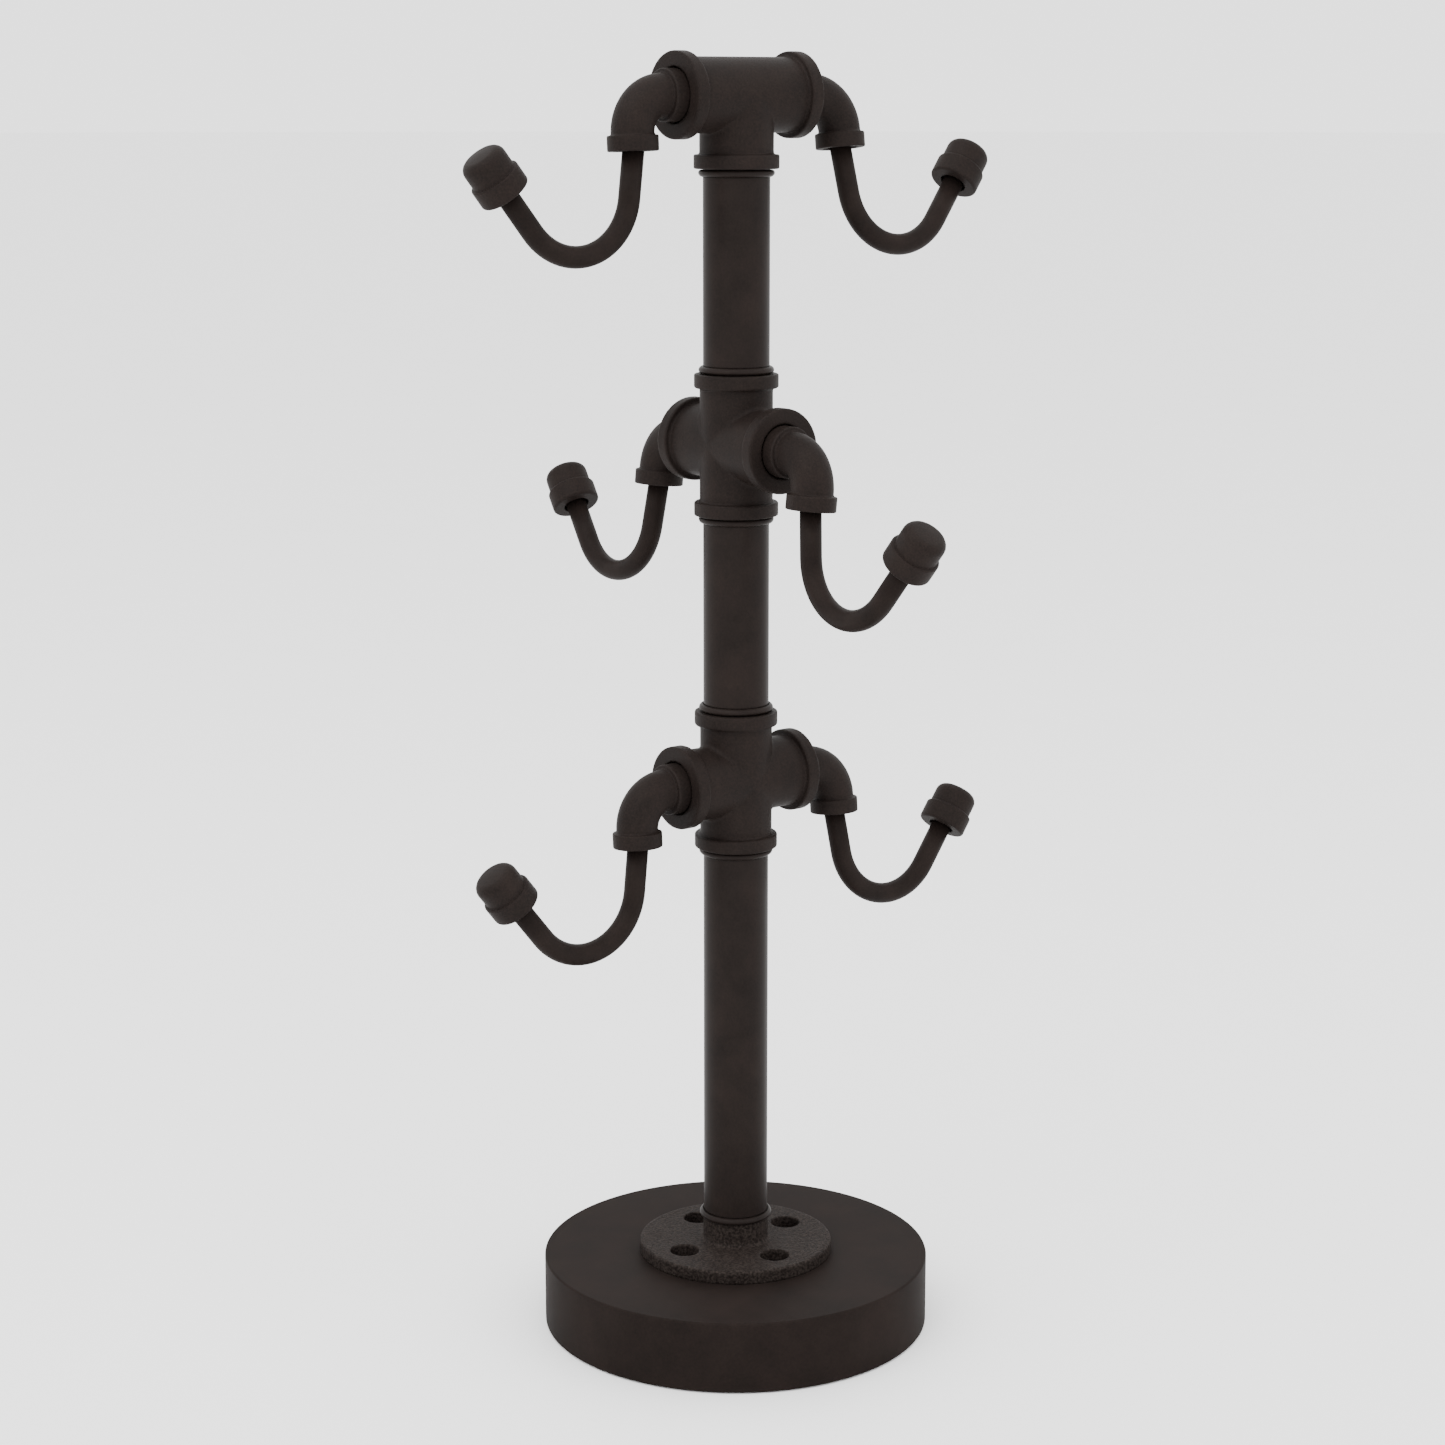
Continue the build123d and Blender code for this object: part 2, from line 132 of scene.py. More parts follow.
class Shader:
    """The node tree of one material, with a single way to add a node."""

    def __init__(self, name: str) -> None:
        """Start a material that holds a Principled shader and an output.

        Args:
            name: The material's name.
        """
        self.material = bpy.data.materials.new(name)
        self.material.use_nodes = True
        self.tree = self.material.node_tree
        self.surface = self.tree.nodes["Principled BSDF"]
        self.place = self.node("ShaderNodeTexCoord", {}, {}).outputs["Object"]

    def node(self, kind: str, settings: dict[str, Any], inputs: dict[Any, Any]) -> bpy.types.Node:
        """Add a node.

        Args:
            kind: The node's type name.
            settings: Properties of the node, set before its sockets.
            inputs: A number, colour, socket or Value for each named or numbered input.

        Returns:
            The new node.
        """
        node = self.tree.nodes.new(kind)
        for key, setting in settings.items():
            setattr(node, key, setting)
        for key, given in inputs.items():
            self.feed(node.inputs[key], given)
        return node

    def feed(self, target: bpy.types.NodeSocket, given: Any) -> None:
        """Link a socket or a Value to an input, or set a plain value on it.

        Args:
            target: The input.
            given: A socket, a Value, a number or a colour.
        """
        if isinstance(given, Value):
            given = given.socket
        if isinstance(given, bpy.types.NodeSocket):
            self.tree.links.new(given, target)
        else:
            target.default_value = given

    def noise(self, grain_mm: float, detail: float = 2.0, rough: float = 0.5) -> Value:
        """Noise on object coordinates.

        Args:
            grain_mm: Distance from one lump to the next.
            detail: How many finer layers lie on the lumps.
            rough: How strong the finer layers are.

        Returns:
            A value between nought and one, with a mean of about a half.
        """
        inputs = {
            "Vector": self.place,
            "Scale": 1 / (grain_mm * MM),
            "Detail": detail,
            "Roughness": rough,
        }
        return Value(self, self.node("ShaderNodeTexNoise", {}, inputs).outputs[0])

    def mix(self, share: Any, first: Colour, second: Colour) -> bpy.types.NodeSocket:
        """Blend two colours.

        Args:
            share: Nought for the first colour, one for the second.
            first: The first colour.
            second: The second colour.

        Returns:
            The socket that holds the blend.
        """
        inputs = {0: share, 6: (*first, 1.0), 7: (*second, 1.0)}
        node = self.node("ShaderNodeMix", {"data_type": "RGBA"}, inputs)
        return node.outputs[2]

    def relief(self, height: Value, depth_mm: float, strength: float) -> bpy.types.NodeSocket:
        """Turn a height into a normal, with the depth that a height of one stands for."""
        inputs = {"Height": height, "Distance": depth_mm * MM, "Strength": strength}
        return self.node("ShaderNodeBump", {}, inputs).outputs["Normal"]


# --- finishes -------------------------------------------------------------------------

DARK_BRONZE = (0.0074, 0.0054, 0.0048)
WARM_BRONZE = (0.0142, 0.0100, 0.0086)
DEEP_BRONZE = (0.0080, 0.0061, 0.0054)
RUBBED_BRONZE = (0.0156, 0.0112, 0.0099)
# Light grey-brown for the flange's sand grain. It is partly the grain's own tone and partly a
# painted sheen on the grain tops, standing in for specular sparkle.
SAND_AND_SHEEN_BRONZE = (0.0260, 0.0205, 0.0180)


@dataclass(frozen=True)
class CoatFinish:
    """Dark bronze coat: a mottled brown-black with a grain that depends on the metal below.

    Attributes:
        name: The material's name.
        rough: Mean roughness.
        rough_swing: How far the roughness goes to either side.
        grain_mm: Distance from one grain to the next.
        grain_depth_mm: Depth of the grain.
        grain_strength: How strongly the grain tilts the surface.
        speckle: How much of the colour comes from the grain rather than from the patches.
        contrast: How sharply the two colours part.
        patch_mm: Size of the patches of colour.
        gloss: Specular level.
        dark: Colour of the coat where it lies thick.
        warm: Colour where the coat is thin and the bronze tone shows. On the flange it is a light
            grain colour that also carries a painted sheen in place of specular sparkle.
    """

    name: str
    rough: float
    rough_swing: float
    grain_mm: float
    grain_depth_mm: float
    grain_strength: float
    speckle: float = 0.4
    contrast: float = 2.6
    patch_mm: float = 14.0
    gloss: float = 0.05
    dark: Colour = DARK_BRONZE
    warm: Colour = WARM_BRONZE

    DETAIL: ClassVar[float] = 3.0
    RAGGEDNESS: ClassVar[float] = 0.6
    PIT_SPACING: ClassVar[float] = 3.1
    GRAIN_SHARE: ClassVar[float] = 0.75
    MIDDLE_TONE: ClassVar[float] = 0.45

    def build(self) -> bpy.types.Material:
        """Make the material.

        Returns:
            The new material.
        """
        shader = Shader(self.name)
        patches = shader.noise(self.patch_mm, self.DETAIL, self.RAGGEDNESS)
        grain = shader.noise(self.grain_mm, self.DETAIL, self.RAGGEDNESS)
        pits = shader.noise(self.grain_mm * self.PIT_SPACING, detail=1.0)
        blend = patches * (1 - self.speckle) + grain * self.speckle
        tone = (blend - NOISE_MEAN) * self.contrast + self.MIDDLE_TONE
        shader.feed(shader.surface.inputs["Base Color"], shader.mix(tone, self.dark, self.warm))
        shine = (patches + grain - 2 * NOISE_MEAN) * self.rough_swing + self.rough
        shader.feed(shader.surface.inputs["Roughness"], shine)
        shader.feed(shader.surface.inputs["Specular IOR Level"], self.gloss)
        height = grain * self.GRAIN_SHARE + pits * (1 - self.GRAIN_SHARE)
        normal = shader.relief(height, self.grain_depth_mm, self.grain_strength)
        shader.feed(shader.surface.inputs["Normal"], normal)
        return shader.material


@dataclass(frozen=True)
class BareMetalFinish:
    """Zinc-plated steel with a cloudy haze over a very fine grain.

    Attributes:
        name: The material's name.
        bright: Colour where the plating is clear.
        dull: Colour where it is hazy.
        rough: Roughness where it is clear.
        rough_swing: What the haze adds to the roughness.
        haze_mm: Size of the clouds.
        grain_mm: Distance from one grain to the next.
        grain_depth_mm: Depth of the grain.
        grain_strength: How strongly the grain tilts the surface.
    """

    name: str
    bright: Colour
    dull: Colour
    rough: float
    rough_swing: float = 0.2
    haze_mm: float = 2.5
    grain_mm: float = 0.3
    grain_depth_mm: float = 0.01
    grain_strength: float = 0.3

    def build(self) -> bpy.types.Material:
        """Make the material.

        Returns:
            The new material.
        """
        shader = Shader(self.name)
        haze = shader.noise(self.haze_mm, detail=4.0)
        shader.feed(shader.surface.inputs["Base Color"], shader.mix(haze, self.bright, self.dull))
        shader.feed(shader.surface.inputs["Metallic"], 1.0)
        shader.feed(shader.surface.inputs["Roughness"], haze * self.rough_swing + self.rough)
        grain = shader.noise(self.grain_mm)
        normal = shader.relief(grain, self.grain_depth_mm, self.grain_strength)
        shader.feed(shader.surface.inputs["Normal"], normal)
        return shader.material


@dataclass(frozen=True)
class RubberFinish:
    """Matte sheet rubber with a fine cell grain.

    Attributes:
        name: The material's name.
        light: Colour on top of the cells.
        dark: Colour between the cells.
        rough: Roughness between the cells.
        rough_swing: What the cells add to the roughness.
        cell_mm: Distance from one cell to the next.
        cell_depth_mm: Depth of the cells.
        cell_strength: How strongly the cells tilt the surface.
    """

    name: str
    light: Colour
    dark: Colour
    rough: float = 0.85
    rough_swing: float = 0.1
    cell_mm: float = 0.5
    cell_depth_mm: float = 0.06
    cell_strength: float = 0.6

    def build(self) -> bpy.types.Material:
        """Make the material.

        Returns:
            The new material.
        """
        shader = Shader(self.name)
        cells = shader.noise(self.cell_mm)
        shader.feed(shader.surface.inputs["Base Color"], shader.mix(cells, self.dark, self.light))
        shader.feed(shader.surface.inputs["Roughness"], cells * self.rough_swing + self.rough)
        normal = shader.relief(cells, self.cell_depth_mm, self.cell_strength)
        shader.feed(shader.surface.inputs["Normal"], normal)
        return shader.material


class Finish(Enum):
    """Every finish on the tree."""

    PIPE = CoatFinish(
        name="drawn_pipe_coat",
        rough=0.42,
        rough_swing=0.10,
        grain_mm=0.7,
        grain_depth_mm=0.02,
        grain_strength=0.25,
    )
    ROD = CoatFinish(
        name="round_rod_coat",
        rough=0.50,
        rough_swing=0.10,
        grain_mm=0.6,
        grain_depth_mm=0.02,
        grain_strength=0.25,
        patch_mm=9.0,
        gloss=0.035,
    )
    BASE = CoatFinish(
        name="base_disc_coat",
        rough=0.58,
        rough_swing=0.12,
        grain_mm=0.8,
        grain_depth_mm=0.03,
        grain_strength=0.3,
        patch_mm=22.0,
        gloss=0.018,
        dark=DEEP_BRONZE,
        warm=RUBBED_BRONZE,
    )
    CASTING = CoatFinish(
        name="casting_coat",
        rough=0.55,
        rough_swing=0.14,
        grain_mm=0.6,
        grain_depth_mm=0.1,
        grain_strength=0.8,
        speckle=0.6,
        contrast=3.4,
        patch_mm=11.0,
    )
    # The flange's light warm colour, sharp contrast and heavy speckle paint a sheen on the grain
    # tops, as well as giving the sand grain its own tone.
    FLANGE = CoatFinish(
        name="rough_casting_coat",
        rough=0.62,
        rough_swing=0.2,
        grain_mm=0.75,
        grain_depth_mm=0.4,
        grain_strength=1.0,
        speckle=0.9,
        contrast=4.5,
        patch_mm=10.0,
        gloss=0.03,
        warm=SAND_AND_SHEEN_BRONZE,
    )
    BUSHING = CoatFinish(
        name="bushing_coat",
        rough=0.6,
        rough_swing=0.1,
        grain_mm=0.6,
        grain_depth_mm=0.03,
        grain_strength=0.3,
        patch_mm=8.0,
        gloss=0.03,
    )
    STEEL = BareMetalFinish(
        name="zinc_plated_steel",
        bright=(0.62, 0.62, 0.64),
        dull=(0.45, 0.45, 0.48),
        rough=0.25,
    )
    RUBBER = RubberFinish(
        name="pad_rubber",
        light=(0.030, 0.030, 0.030),
        dark=(0.012, 0.012, 0.012),
    )

    def material(self) -> bpy.types.Material:
        """The finish's material, made the first time it is asked for."""
        return bpy.data.materials.get(self.value.name) or self.value.build()


# --- mesh building --------------------------------------------------------------------


@dataclass(frozen=True)
class Corner:
    """A corner of a turned profile.

    Attributes:
        along: Its place along the axis, in millimetres.
        radius: Its distance from the axis, in millimetres.
        rounding: How much of it is rounded off, in millimetres.
    """

    along: float
    radius: float
    rounding: float = 0.0


def mesh_object(name: str, mesh: bmesh.types.BMesh) -> bpy.types.Object:
    """Free a bmesh into a smooth-shaded object at the origin.

    Args:
        name: The object's name.
        mesh: The finished bmesh, in metres in the row frame.

    Returns:
        The linked object.
    """
    bmesh.ops.recalc_face_normals(mesh, faces=mesh.faces)
    for face in mesh.faces:
        face.smooth = True
    data = bpy.data.meshes.new(name)
    mesh.to_mesh(data)
    mesh.free()
    piece = bpy.data.objects.new(name, data)
    bpy.context.scene.collection.objects.link(piece)
    return piece


def even_normals(piece: bpy.types.Object) -> None:
    """Let wide faces set the shading beside narrow rounded edges.

    Args:
        piece: The piece to shade.
    """
    modifier = piece.modifiers.new("even_normals", "WEIGHTED_NORMAL")
    modifier.keep_sharp = True
    modifier.weight = 100


def turned(
    name: str, corners: Sequence[Corner], origin: Vector, axis: Vector, steps: int = 96
) -> bpy.types.Object:
    """Turn a closed profile round an axis, as on a lathe.

    Args:
        name: The object's name.
        corners: The profile's corners in order. Two may lie on the axis.
        origin: Where the profile's zero lies, in metres.
        axis: Direction of the axis.
        steps: Faces round the piece.

    Returns:
        The turned piece.
    """
    axis = axis.normalized()
    radial = axis.orthogonal().normalized()
    mesh = bmesh.new()
    points = [origin + (axis * c.along + radial * c.radius) * MM for c in corners]
    verts = [mesh.verts.new(point) for point in points]
    mesh.faces.new(verts)
    for vert, corner in zip(verts, corners):
        if corner.rounding:
            bmesh.ops.bevel(
                mesh,
                geom=[vert],
                offset=corner.rounding * MM,
                affect="VERTICES",
                segments=ROUNDING_STEPS,
                profile=0.5,
                material=-1,
            )
    bmesh.ops.delete(mesh, geom=list(mesh.faces), context="FACES_ONLY")
    on_axis = [
        edge
        for edge in mesh.edges
        if all((v.co - origin).cross(axis).length < TOUCHING for v in edge.verts)
    ]
    bmesh.ops.delete(mesh, geom=on_axis, context="EDGES")
    bmesh.ops.spin(
        mesh,
        geom=[*mesh.verts, *mesh.edges],
        cent=origin,
        axis=axis,
        angle=FULL_TURN,
        steps=steps,
        use_merge=True,
    )
    bmesh.ops.remove_doubles(mesh, verts=mesh.verts, dist=TOUCHING)
    piece = mesh_object(name, mesh)
    even_normals(piece)
    return piece


@dataclass(frozen=True)
class CastSurface:
    """How a casting's surface is worked.

    Attributes:
        voxel_mm: Size of the mesh's faces.
        soften: How many times the corners are softened.
        grain_mm: Distance from one grain of the sand to the next.
        grain_depth_mm: Depth of the grain.
        soften_share: How far each softening goes.
        sand_layers: Finer layers in the grain.
    """

    voxel_mm: float
    soften: int
    grain_mm: float
    grain_depth_mm: float
    soften_share: float = 0.5
    sand_layers: int = 2


def cast(name: str, node: bpy.types.Object, surface: CastSurface) -> bpy.types.Object:
    """Make a casting with blended corners and sand grain from a frame node's shape.

    Args:
        name: The new object's name.
        node: The frame node that gives the shape. It is only read.
        surface: How the casting's surface is worked.

    Returns:
        The casting, with its modifiers applied.
    """
    mesh = bmesh.new()
    mesh.from_mesh(node.data)
    bmesh.ops.remove_doubles(mesh, verts=mesh.verts, dist=TOUCHING)
    rough = mesh_object(f"{name}_rough", mesh)
    remesh = rough.modifiers.new("even_mesh", "REMESH")
    remesh.mode = "VOXEL"
    remesh.voxel_size = surface.voxel_mm * MM
    remesh.use_smooth_shade = True
    soften = rough.modifiers.new("soften", "SMOOTH")
    soften.factor = surface.soften_share
    soften.iterations = surface.soften
    sand = bpy.data.textures.new(f"{name}_sand", "CLOUDS")
    sand.noise_scale = surface.grain_mm * MM
    sand.noise_depth = surface.sand_layers
    grain = rough.modifiers.new("sand_grain", "DISPLACE")
    grain.texture = sand
    grain.texture_coords = "LOCAL"
    grain.strength = surface.grain_depth_mm * MM
    grain.mid_level = NOISE_MEAN
    bpy.context.view_layer.update()
    evaluated = rough.evaluated_get(bpy.context.evaluated_depsgraph_get())
    data = bpy.data.meshes.new_from_object(evaluated)
    data.name = name
    piece = bpy.data.objects.new(name, data)
    bpy.context.scene.collection.objects.link(piece)
    bpy.data.objects.remove(rough)
    bpy.data.textures.remove(sand)
    return piece


# --- placing and reporting ------------------------------------------------------------


class Bench:
    """Places finished pieces on the frame and reports each one."""

    def __init__(self, frame: dict[str, Any]) -> None:
        """Take the loaded frame and look up each node's body and material slot.

        Args:
            frame: The loaded frame.
        """
        record = frame["record"]
        bodies = record["behaviour"]["bodies"]
        self.frame = frame
        self.body_of = {node: body for body, nodes in bodies.items() for node in nodes}
        self.slot_of = {part["node"]: part["material_slot"] for part in record["subparts"]}
        self.placed = 0

    def node(self, name: str) -> bpy.types.Object:
        """A frame node's object."""
        return self.frame["nodes"][name]

    def stand_for(self, piece: bpy.types.Object, node: str, finish: Finish) -> None:
        """Let a new piece stand for a frame node, riding on that node's body.

        Args:
            piece: The new piece.
            node: The frame node that it replaces.
            finish: Its finish.
        """
        piece.data.materials.clear()
        piece.data.materials.append(finish.material())
        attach(piece, self.body_of[node])
        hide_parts(node)
        self.placed += 1
        LOG.info("%s stands for %s, %d faces", piece.name, node, len(piece.data.polygons))

    def dress(self, names: Iterable[str], finish: Finish) -> None:
        """Give frame nodes that stay a finish.

        Args:
            names: The nodes.
            finish: Their finish.
        """
        for name in names:
            data = self.node(name).data
            data.materials.clear()
            data.materials.append(finish.material())
            self.placed += 1
            LOG.info("%s dressed in %s", name, finish.value.name)


# --- the stand ------------------------------------------------------------------------


@dataclass
class Base:
    """Weighted disc, pad, floor flange and the bolt that holds them."""

    disc_radius: float = 64.5
    disc_steps: int = 192
    edge_rounding: float = 0.7
    recess_radius: float = 56.2
    recess_depth: float = 1.2
    recess_rounding: float = 0.2
    counterbore_radius: float = 12.0
    counterbore_top: float = 11.0
    bolt_way_radius: float = 4.5
    flange_surface: CastSurface = CastSurface(
        voxel_mm=0.36, soften=1, grain_mm=0.9, grain_depth_mm=0.1
    )

    def build(self, bench: Bench) -> None:
        """Make the disc and the flange, and dress what stays from the frame.

        Args:
            bench: Where the pieces are placed.
        """
        low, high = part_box("base_disc")
        bottom = low.z / MM
        top = high.z / MM
        recess_top = bottom + self.recess_depth
        corners = [
            Corner(top, self.bolt_way_radius),
            Corner(top, self.disc_radius, self.edge_rounding),
            Corner(bottom, self.disc_radius, self.edge_rounding),
            Corner(bottom, self.recess_radius, self.recess_rounding),
            Corner(recess_top, self.recess_radius),
            Corner(recess_top, self.counterbore_radius),
            Corner(self.counterbore_top, self.counterbore_radius),
            Corner(self.counterbore_top, self.bolt_way_radius),
        ]
        disc = turned("turned_base_disc", corners, Vector(), UP, self.disc_steps)
        bench.stand_for(disc, "base_disc", Finish.BASE)
        flange = cast("cast_floor_flange", bench.node("floor_flange"), self.flange_surface)
        bench.stand_for(flange, "floor_flange", Finish.FLANGE)
        bench.dress(["base_pad"], Finish.RUBBER)
        bench.dress(["base_bolt", "base_washer", "foot_plug"], Finish.STEEL)


@dataclass
class Pole:
    """Three lengths of pipe and the bead rings that cover their joints."""

    pipe_radius: float = 10.65
    bore_radius: float = 6.5
    spigot_radius: float = 8.55
    spigot_length: float = 9.0
    spigot_rounding: float = 0.4
    shoulder_rounding: float = 0.3
    bead_radius: float = 12.1
    bead_round: float = 0.83
    bead_fullness: float = 0.98
    lengths: tuple[str, ...] = ("pole_lower", "pole_middle", "pole_upper")
    beads_above: tuple[str, ...] = (
        "bead_foot",
        "bead_lower_cross_top",
        "bead_middle_cross_top",
    )
    beads_below: tuple[str, ...] = (
        "bead_lower_cross_bottom",
        "bead_middle_cross_bottom",
        "bead_tee",
    )

    def build(self, bench: Bench) -> None:
        """Make every length of pipe and every bead.

        Args:
            bench: Where the pieces are placed.
        """
        for node in self.lengths:
            bench.stand_for(self.pipe(node), node, Finish.PIPE)
        for up, nodes in ((1, self.beads_above), (-1, self.beads_below)):
            for node in nodes:
                bench.stand_for(self.bead(node, up), node, Finish.PIPE)

    def pipe(self, node: str) -> bpy.types.Object:
        """Turn one length of pipe, with its reduced ends.

        Args:
            node: The length's frame node.

        Returns:
            The pipe.
        """
        low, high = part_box(node)
        bottom = low.z / MM
        top = high.z / MM
        first = bottom + self.spigot_length
        last = top - self.spigot_length
        corners = [
            Corner(bottom, self.bore_radius),
            Corner(bottom, self.spigot_radius, self.spigot_rounding),
            Corner(first, self.spigot_radius),
            Corner(first, self.pipe_radius, self.shoulder_rounding),
            Corner(last, self.pipe_radius, self.shoulder_rounding),
            Corner(last, self.spigot_radius),
            Corner(top, self.spigot_radius, self.spigot_rounding),
            Corner(top, self.bore_radius),
        ]
        return turned(f"drawn_{node}", corners, Vector(), UP, TURNED_STEPS)

    def bead(self, node: str, up: int) -> bpy.types.Object:
        """Turn one bead ring: a half round near the fitting and a cone back to the pipe.

        Args:
            node: The bead's frame node.
            up: 1 where the pipe goes up from the fitting, -1 where it goes down.

        Returns:
            The ring.
        """
        low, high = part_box(node)
        near = (low.z if up > 0 else high.z) / MM
        far = (high.z if up > 0 else low.z) / MM
        cone_start = near + up * 2 * self.bead_round
        rounding = self.bead_round * self.bead_fullness
        corners = [
            Corner(near, self.pipe_radius),
            Corner(near, self.bead_radius, rounding),
            Corner(cone_start, self.bead_radius, rounding),
            Corner(far, self.pipe_radius),
        ]
        return turned(f"turned_{node}", corners, Vector(), UP, TURNED_STEPS)


@dataclass
class Fittings:
    """The two crosses and the tee on the pole, cast with soft corners."""

    nodes: tuple[str, ...] = ("cross_lower", "cross_middle", "tee_top")
    surface: CastSurface = CastSurface(
        voxel_mm=0.42, soften=1, grain_mm=0.9, grain_depth_mm=0.05
    )

    def build(self, bench: Bench) -> None:
        """Cast each fitting.

        Args:
            bench: Where the pieces are placed.
        """
        for node in self.nodes:
            casting = cast(f"cast_{node}", bench.node(node), self.surface)
            bench.stand_for(casting, node, Finish.CASTING)


# --- hooks ----------------------------------------------------------------------------


@dataclass
class Hook:
    """One hook: elbow, bent rod, end cap and the bushings inside them.

    Attributes:
        arm: The arm's name, as the frame's nodes have it.
        outwards: Direction of the port's axis.
        port_height: Height of the port's axis.
        turn: How far the hook is turned about its port at rest, in degrees.
        upwards: The hook's own up direction.
    """

    arm: str
    outwards: Vector
    port_height: float
    turn: float
    outlet_reach: float = 40.45
    outlet_drop: float = 16.9
    rod_radius: float = 3.44
    rod_inserted: float = 8.0
    rod_slant: float = 8.6
    rod_down: float = 14.3
    bend_radius: float = 20.2
    rise_heading: float = 142.3
    rod_up: float = 14.5
    rod_faces: int = 48
    bend_steps: int = 40
    cap_length: float = 14.8
    cap_radius: float = 8.1
    cap_band: float = 6.7
    cap_band_rounding: float = 0.9
    cap_band_back_rounding: float = 0.7
    cap_body_radius: float = 7.2
    cap_inner_rounding: float = 0.25
    cap_shoulder_rounding: float = 2.7
    cap_crown_rise: float = 0.6
    cap_mouth_radius: float = 4.3
    cap_mouth_depth: float = 1.6
    cap_cavity_radius: float = 5.5
    cap_cavity_end: float = 9.6
    elbow_surface: CastSurface = CastSurface(
        voxel_mm=0.32, soften=1, grain_mm=0.7, grain_depth_mm=0.04
    )
    upwards: Vector = field(init=False)

    def __post_init__(self) -> None:
        """Turn the hook's own up direction about its port."""
        self.upwards = Quaternion(self.outwards, math.radians(self.turn)) @ UP

    def build(self, bench: Bench) -> None:
        """Make the hook's pieces and dress its bushings.

        Args:
            bench: Where the pieces are placed.
        """
        elbow_node = f"elbow_{self.arm}"
        elbow = cast(f"cast_{elbow_node}", bench.node(elbow_node), self.elbow_surface)
        bench.stand_for(elbow, elbow_node, Finish.CASTING)
        bench.stand_for(self.rod(), f"hook_rod_{self.arm}", Finish.ROD)
        bench.stand_for(self.cap(), f"end_cap_{self.arm}", Finish.CASTING)
        kinds = ("port_bushing", "rod_bushing", "cap_bushing")
        bench.dress([f"{kind}_{self.arm}" for kind in kinds], Finish.BUSHING)

    def place(self, u: float, w: float) -> Vector:
        """A point of the side view, in metres in the row frame."""
        return (self.outwards * u + self.upwards * w + Vector((0, 0, self.port_height))) * MM

    def heading(self, angle: float) -> Vector:
        """Direction at an angle from straight down, turning outwards."""
        swing = math.radians(angle)
        return self.outwards * math.sin(swing) - self.upwards * math.cos(swing)

    def bend_start(self) -> Vector:
        """Where the rod's lower bend begins, in metres."""
        outlet = self.place(self.outlet_reach, -self.outlet_drop)
        return outlet + self.heading(self.rod_slant) * self.rod_down * MM

    def bend_centre(self) -> Vector:
        """The centre of the rod's lower bend, in metres."""
        return self.bend_start() + self.heading(self.rod_slant + 90) * self.bend_radius * MM

    def cap_mouth(self) -> Vector:
        """The middle of the cap's mouth, in metres."""
        inwards = self.heading(self.rise_heading + 90)
        bend_end = self.bend_centre() - inwards * self.bend_radius * MM
        return bend_end + self.heading(self.rise_heading) * self.rod_up * MM

    def rod(self) -> bpy.types.Object:
        """Bend the rod: a ring pushed straight, spun round the bend and pushed straight again.

        Returns:
            The rod, from inside the elbow to inside the cap.
        """
        down = self.heading(self.rod_slant)
        rise = self.heading(self.rise_heading)
        facing = UP.rotation_difference(down).to_matrix().to_4x4()
        facing.translation = self.bend_start() - down * (self.rod_down + self.rod_inserted) * MM
        mesh = bmesh.new()
        bmesh.ops.create_circle(
            mesh, segments=self.rod_faces, radius=self.rod_radius * MM, matrix=facing
        )
        first = list(mesh.edges)
        ring = self.push(mesh, first, down * (self.rod_down + self.rod_inserted) * MM)
        bend = bmesh.ops.spin(
            mesh,
            geom=[*ring, *{vert for edge in ring for vert in edge.verts}],
            cent=self.bend_centre(),
            axis=self.outwards.cross(self.upwards),
            angle=math.radians(self.rise_heading - self.rod_slant),
            steps=self.bend_steps,
        )
        ring = [item for item in bend["geom_last"] if isinstance(item, bmesh.types.BMEdge)]
        last = self.push(mesh, ring, rise * (self.rod_up + self.rod_inserted) * MM)
        bmesh.ops.edgeloop_fill(mesh, edges=[*first, *last])
        rod = mesh_object(f"bent_rod_{self.arm}", mesh)
        even_normals(rod)
        return rod

    def push(
        self, mesh: bmesh.types.BMesh, ring: list[bmesh.types.BMEdge], travel: Vector
    ) -> list[bmesh.types.BMEdge]:
        """Extrude a ring of edges by a travel, in metres.

        Args:
            mesh: The rod's mesh.
            ring: The edges to extrude.
            travel: How far and which way.

        Returns:
            The new ring.
        """
        made = bmesh.ops.extrude_edge_only(mesh, edges=ring)["geom"]
        verts = {item for item in made if isinstance(item, bmesh.types.BMVert)}
        bmesh.ops.translate(mesh, verts=list(verts), vec=travel)
        edges = [item for item in made if isinstance(item, bmesh.types.BMEdge)]
        return [edge for edge in edges if verts.issuperset(edge.verts)]

    def cap(self) -> bpy.types.Object:
        """Turn the end cap: a band at the mouth, a narrower body and a rounded crown.

        Returns:
            The cap.
        """
        shoulder = self.cap_length - self.cap_crown_rise
        corners = [
            Corner(0, self.cap_mouth_radius, self.cap_inner_rounding),
            Corner(0, self.cap_radius, self.cap_band_rounding),
            Corner(self.cap_band, self.cap_radius, self.cap_band_back_rounding),
            Corner(self.cap_band, self.cap_body_radius, self.cap_inner_rounding),
            Corner(shoulder, self.cap_body_radius, self.cap_shoulder_rounding),
            Corner(self.cap_length, 0),
            Corner(self.cap_cavity_end, 0),
            Corner(self.cap_cavity_end, self.cap_cavity_radius),
            Corner(self.cap_mouth_depth, self.cap_cavity_radius),
            Corner(self.cap_mouth_depth, self.cap_mouth_radius),
        ]
        axis = self.heading(self.rise_heading)
        return turned(f"turned_cap_{self.arm}", corners, self.cap_mouth(), axis)


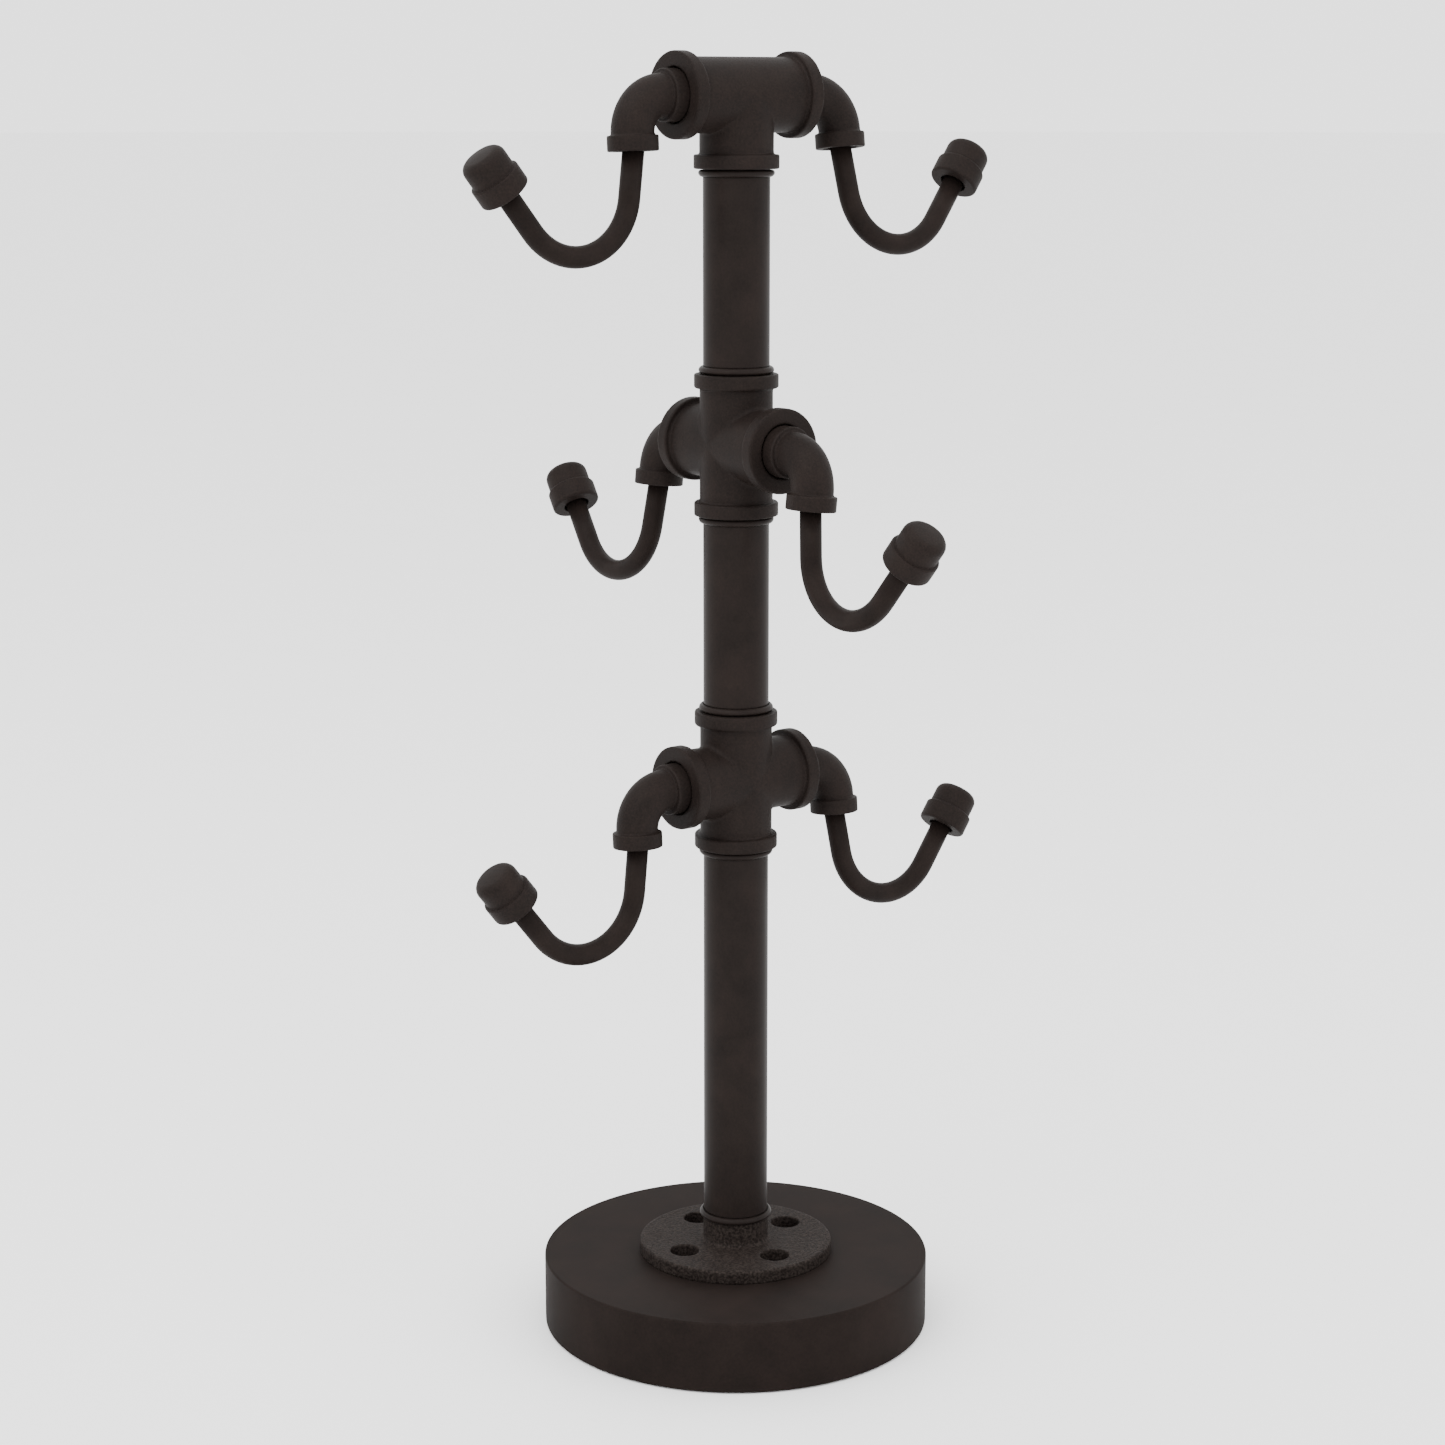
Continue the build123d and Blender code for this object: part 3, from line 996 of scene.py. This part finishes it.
def hooks_of(frame: dict[str, Any]) -> list[Hook]:
    """Read the arms from the frame's joints.

    Args:
        frame: The loaded frame.

    Returns:
        One hook for each joint. The middle of a joint's range is the hook hanging straight down.
    """
    hooks = []
    for joint in frame["joints"]:
        arm = joint["name"].removeprefix("turn_")
        turn = -sum(joint["range_deg"]) / 2
        hooks.append(Hook(arm, Vector(joint["axis"]), joint["pos_m"][2] / MM, turn))
    return hooks


# --- studio ---------------------------------------------------------------------------


@dataclass(frozen=True)
class SoftLamp:
    """A soft lamp that faces the middle of the tree.

    Attributes:
        name: The lamp's name.
        bearing: Its direction seen from above, in degrees from +X.
        height: Its height above the middle of the tree, in degrees.
        distance: Its distance, in metres.
        size: Its side, in metres.
        power: Its power, in watts.
    """

    name: str
    bearing: float
    height: float
    distance: float
    size: float
    power: float

    MIDDLE: ClassVar[float] = 0.21

    def hang(self) -> None:
        """Make the lamp and put it in its place."""
        bearing = math.radians(self.bearing)
        height = math.radians(self.height)
        across = math.cos(height)
        towards = Vector(
            (across * math.cos(bearing), across * math.sin(bearing), math.sin(height))
        )
        data = bpy.data.lights.new(self.name, "AREA")
        data.energy = self.power
        data.size = self.size
        lamp = bpy.data.objects.new(self.name, data)
        lamp.location = Vector((0, 0, self.MIDDLE)) + towards * self.distance
        lamp.rotation_euler = towards.to_track_quat("Z", "Y").to_euler()
        bpy.context.scene.collection.objects.link(lamp)


@dataclass
class Studio:
    """Pale floor, soft lights and the camera. Lengths are in metres, angles in degrees."""

    floor_radius: float = 30.0
    floor_steps: int = 128
    floor_patch_mm: float = 90.0
    floor_dull: Colour = (0.92, 0.92, 0.92)
    floor_bright: Colour = (0.94, 0.94, 0.94)
    floor_rough: float = 0.9
    floor_gloss: float = 0.1
    camera_distance: float = 0.9582
    camera_height: float = 0.4082
    camera_bearing: float = 232.65
    camera_pitch: float = 11.91
    camera_pan: float = 0.264
    lens: float = 74.67
    sensor_width: float = 36.0
    sky_colour: tuple[float, float, float, float] = (1.0, 1.0, 1.0, 1.0)
    sky_strength: float = 2.35
    lamps: tuple[SoftLamp, ...] = (
        SoftLamp("key_lamp", bearing=190, height=50, distance=1.6, size=1.2, power=13.0),
        SoftLamp("fill_lamp", bearing=290, height=35, distance=1.8, size=1.4, power=7.0),
        SoftLamp("top_lamp", bearing=235, height=78, distance=1.8, size=1.2, power=9.0),
    )

    def build(self) -> None:
        """Set up the floor, the sky, the lamps and the camera."""
        self.floor()
        self.sky()
        for lamp in self.lamps:
            lamp.hang()
        self.camera()

    def floor(self) -> None:
        """Lay a wide pale floor."""
        mesh = bmesh.new()
        bmesh.ops.create_circle(
            mesh, cap_ends=True, segments=self.floor_steps, radius=self.floor_radius
        )
        floor = mesh_object("pale_floor", mesh)
        if floor.data.polygons[0].normal.z < 0:
            floor.data.flip_normals()
        shader = Shader("pale_floor_paint")
        patches = shader.noise(self.floor_patch_mm)
        tone = shader.mix(patches, self.floor_dull, self.floor_bright)
        shader.feed(shader.surface.inputs["Base Color"], tone)
        shader.feed(shader.surface.inputs["Roughness"], self.floor_rough)
        shader.feed(shader.surface.inputs["Specular IOR Level"], self.floor_gloss)
        floor.data.materials.append(shader.material)

    def sky(self) -> None:
        """Light everything evenly from a white sky."""
        world = bpy.data.worlds.new("white_sky")
        world.use_nodes = True
        background = world.node_tree.nodes["Background"]
        background.inputs["Color"].default_value = self.sky_colour
        background.inputs["Strength"].default_value = self.sky_strength
        bpy.context.scene.world = world

    def camera(self) -> None:
        """Place the camera at the front left, at about the top fitting's level."""
        bearing = math.radians(self.camera_bearing)
        back = Vector((math.cos(bearing), math.sin(bearing), 0))
        location = back * self.camera_distance + Vector((0, 0, self.camera_height))
        pitch = math.radians(self.camera_pitch)
        level = Quaternion(UP, math.radians(self.camera_pan)) @ -back
        forward = level * math.cos(pitch) - Vector((0, 0, math.sin(pitch)))
        data = bpy.data.cameras.new("camera")
        data.lens = self.lens
        data.sensor_width = self.sensor_width
        camera = bpy.data.objects.new("camera", data)
        camera.location = location
        camera.rotation_euler = forward.to_track_quat("-Z", "Y").to_euler()
        bpy.context.scene.collection.objects.link(camera)
        bpy.context.scene.camera = camera


# --- the whole tree -------------------------------------------------------------------


def main() -> None:
    """Load the frame, build every sub-assembly in order and report the pieces."""
    logging.basicConfig(level=logging.INFO, format="%(name)s: %(message)s")
    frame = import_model()
    Studio().build()
    bench = Bench(frame)
    for assembly in (Base(), Pole(), Fittings(), *hooks_of(frame)):
        assembly.build(bench)
    LOG.info("%d pieces of %d nodes are finished", bench.placed, len(frame["nodes"]))


if __name__ == "__main__":
    main()
